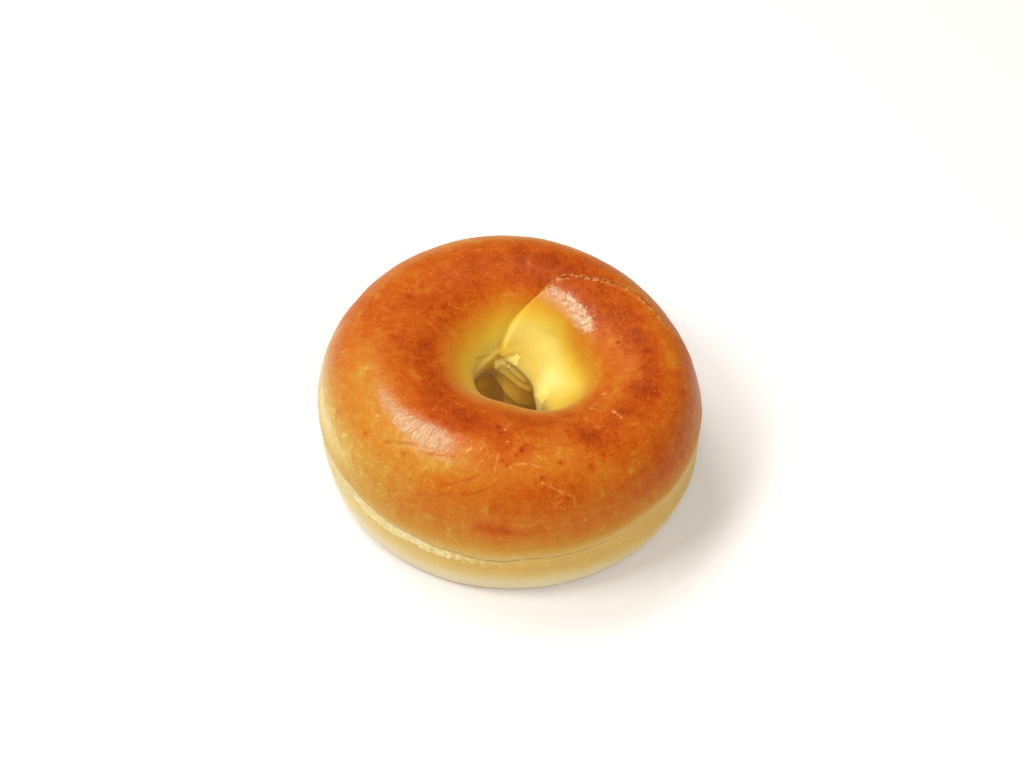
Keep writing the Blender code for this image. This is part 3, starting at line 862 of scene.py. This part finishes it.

    # The wash dried to a thin pale film where it lies thick: brushed, or lacy with
    # brown veins where the skin crinkled. That pale colour lies where the lamps'
    # highlights fall and is partly a painted highlight that whitens them.
    thick = kept["glazed"]
    for name, always, where_rumpled in (
        ("dried wash", 0.30, 0.60), ("leather", 0.20, 0.60), ("thin streaks", 0.30, 0.0),
    ):
        strength = add(tree, "Math", (rumpled, where_rumpled, always), operation="MULTIPLY_ADD")
        uneven = add(tree, "Math", (grain[name], 0.5), operation="SUBTRACT")
        thick = add(tree, "Math", (uneven, strength, thick), operation="MULTIPLY_ADD")
    film_and_painted_highlight = add(tree, "MapRange", (thick, 0.50, 0.78), interpolation_type="SMOOTHSTEP")
    film_and_painted_highlight = add(tree, "Math", (film_and_painted_highlight, crown), operation="MULTIPLY")
    strokes = add(tree, "MapRange", (grain["ripples"], 0.42, 0.60), interpolation_type="SMOOTHSTEP")
    brushed = {0: strokes, 6: linear("#957546"), 7: linear("#B2AB8A")}
    brushed = add(tree, "Mix", brushed, out=2, data_type="RGBA")
    lace = add(tree, "ValToRGB", (grain["lace"],), stops=LACE_PAINTED_HIGHLIGHT_COLOURS)
    painted_highlight_film_colour = add(tree, "Mix", {0: rumpled, 6: brushed, 7: lace}, out=2, data_type="RGBA")
    share = add(tree, "Math", (rumpled, 0.34, 0.40), operation="MULTIPLY_ADD")
    share = add(tree, "Math", (film_and_painted_highlight, share), operation="MULTIPLY")
    colour = add(tree, "Mix", {0: share, 6: colour, 7: painted_highlight_film_colour}, out=2, data_type="RGBA")
    veins = add(tree, "Math", (grain["veins"], 0.5), operation="SUBTRACT")
    veins = add(tree, "Math", (veins,), operation="ABSOLUTE")
    veins = add(tree, "MapRange", (veins, 0.0, 0.022, 1.0, 0.0), interpolation_type="SMOOTHSTEP")
    for where in (film_and_painted_highlight, rumpled):
        veins = add(tree, "Math", (veins, where), operation="MULTIPLY")
    share = add(tree, "Math", (veins, 0.70), operation="MULTIPLY")
    colour = add(tree, "Mix", {0: share, 6: colour, 7: linear("#A34C16")}, out=2, data_type="RGBA")
    tree.links.new(colour, shader.inputs["Base Color"])

    # Relief in mm: wrinkled where the wash dried, soft on the belly, open in the crumb.
    ripples = add(tree, "Math", (film_and_painted_highlight, 0.07, 0.07), operation="MULTIPLY_ADD")
    skin = add(tree, "Math", (grain["ripples"], ripples), operation="MULTIPLY")
    for name, amount in (("skin", 0.085), ("leather", 0.045)):
        skin = add(tree, "Math", (grain[name], amount, skin), operation="MULTIPLY_ADD")
    height = add(tree, "Math", (skin, mostly_crown), operation="MULTIPLY")
    for name, where, amount in (
        ("crazing", rumpled, 0.22), ("wrinkles", crown, 0.10), ("open crumb", open_crumb, 0.60),
        ("seam lumps", by_seam, 0.35),
    ):
        relief = add(tree, "Math", (grain[name], where), operation="MULTIPLY")
        height = add(tree, "Math", (relief, amount, height), operation="MULTIPLY_ADD")
    for relief, amount in (
        (grain["swells"], 0.16), (lines["groove"], -0.10), (lines["ridge"], 0.10), (pits, -0.25),
        (specks, 0.10), (veins, -0.20), (burst_line, -0.15), (lines["seam"], -0.12),
    ):
        height = add(tree, "Math", (relief, amount, height), operation="MULTIPLY_ADD")
    normal = add(tree, "Bump", {"Height": height, "Distance": 0.001, "Strength": 1.0})
    tree.links.new(normal, shader.inputs["Normal"])
    tree.links.new(normal, shader.inputs["Coat Normal"])

    # Gloss: only on the crown's whole skin, more where the wash is thick, less by the seam.
    gloss = add(tree, "MapRange", (thick, 0.16, 0.90, 0.05, 0.90), interpolation_type="SMOOTHSTEP")
    off_seam = add(tree, "Math", (kept["seam"],), operation="ABSOLUTE")
    off_seam = add(tree, "MapRange", (off_seam, 0.3, 2.4, 0.1, 1.0), interpolation_type="SMOOTHSTEP")
    for where in (crown, whole_skin, off_seam):
        gloss = add(tree, "Math", (gloss, where), operation="MULTIPLY")
    rough = add(tree, "MapRange", (gloss, 0.0, 0.8, 0.51, 0.31), interpolation_type="SMOOTHSTEP")
    rough = add(tree, "Math", (grain["uneven gloss"], 0.22, rough), operation="MULTIPLY_ADD")
    tree.links.new(rough, shader.inputs["Roughness"])
    tree.links.new(gloss, shader.inputs["Coat Weight"])
    for socket, value in (
        ("Coat Roughness", 0.14), ("Coat IOR", 1.45), ("IOR", 1.45), ("Specular IOR Level", 0.24),
        ("Specular Tint", linear("#FFD9B0")), ("Sheen Weight", 0.10), ("Sheen Roughness", 0.35),
        ("Sheen Tint", linear("#FFF0D8")), ("Subsurface Weight", 0.50), ("Subsurface Scale", 0.0042),
        ("Subsurface Radius", (1.0, 0.55, 0.25)),
    ):
        shader.inputs[socket].default_value = value
    return material


def white_paper():
    """Matt paper, rolled: it shows no gloss, only the soft shadow."""
    material, shader = fresh("matt white paper")
    shader.inputs["Base Color"].default_value = linear("#DFDEE1")
    shader.inputs["Roughness"].default_value = 0.9
    return material


def paper_floor():
    bpy.ops.mesh.primitive_plane_add(size=FLOOR_SIZE, location=(0, 0, 0))
    floor = bpy.context.object
    floor.name = "floor"
    floor.data.materials.append(white_paper())
    return floor


def light_room():
    """An even warm room, dimmer where the gloss mirrors it."""
    world = bpy.data.worlds.new("studio")
    bpy.context.scene.world = world
    world.use_nodes = True
    tree = world.node_tree
    room = tree.nodes["Background"]
    room.inputs["Color"].default_value = linear("#FFEBCF")
    mirrored = add(tree, "LightPath", out="Is Glossy Ray")
    strength = add(tree, "MapRange", {"Value": mirrored, "To Min": ROOM_LIGHT, "To Max": ROOM_MIRRORED})
    tree.links.new(strength, room.inputs["Strength"])


def soft_box(name, azimuth, elevation, width, height, watts, mirrored):
    """A soft box that faces the roll from an azimuth, clockwise from the back, and an elevation."""
    lamp = bpy.data.lights.new(name, "AREA")
    lamp.energy = watts
    lamp.color = linear("#FFFDF9")[:3]
    lamp.shape = "RECTANGLE"
    lamp.size = width
    lamp.size_y = height
    box = bpy.data.objects.new(name, lamp)
    bpy.context.collection.objects.link(box)
    flat = cos(radians(elevation))
    way = Vector((sin(radians(azimuth)) * flat, cos(radians(azimuth)) * flat, sin(radians(elevation))))
    box.location = way * LAMP_DISTANCE
    box.rotation_euler = way.to_track_quat("Z", "Y").to_euler()
    box.visible_glossy = mirrored


def front_camera(middle):
    """A long lens in front of the roll, looking down on it."""
    elevation = radians(CAMERA_ELEVATION)
    right = Vector((1, 0, 0))
    up = Vector((0, sin(elevation), cos(elevation)))
    back = Vector((0, -cos(elevation), sin(elevation)))
    aim = Vector((-middle[0], -middle[1], FOOT_DROP)) + right * CAMERA_AIM[0] + up * CAMERA_AIM[1]
    lens = bpy.data.cameras.new("camera")
    lens.sensor_width = 36
    lens.lens = CAMERA_LENS
    camera = bpy.data.objects.new("camera", lens)
    bpy.context.collection.objects.link(camera)
    camera.location = aim + back * CAMERA_DISTANCE
    camera.rotation_euler = back.to_track_quat("Z", "Y").to_euler()
    bpy.context.scene.camera = camera


crust, crust_middle = baked_crust()
crust.data.materials.append(egg_washed_crust())
floor = paper_floor()
light_room()
for soft_box_values in SOFT_BOXES:
    soft_box(*soft_box_values)
front_camera(crust_middle)
bpy.context.scene.view_settings.view_transform = "Standard"

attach(crust, "root")
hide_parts("bagel")
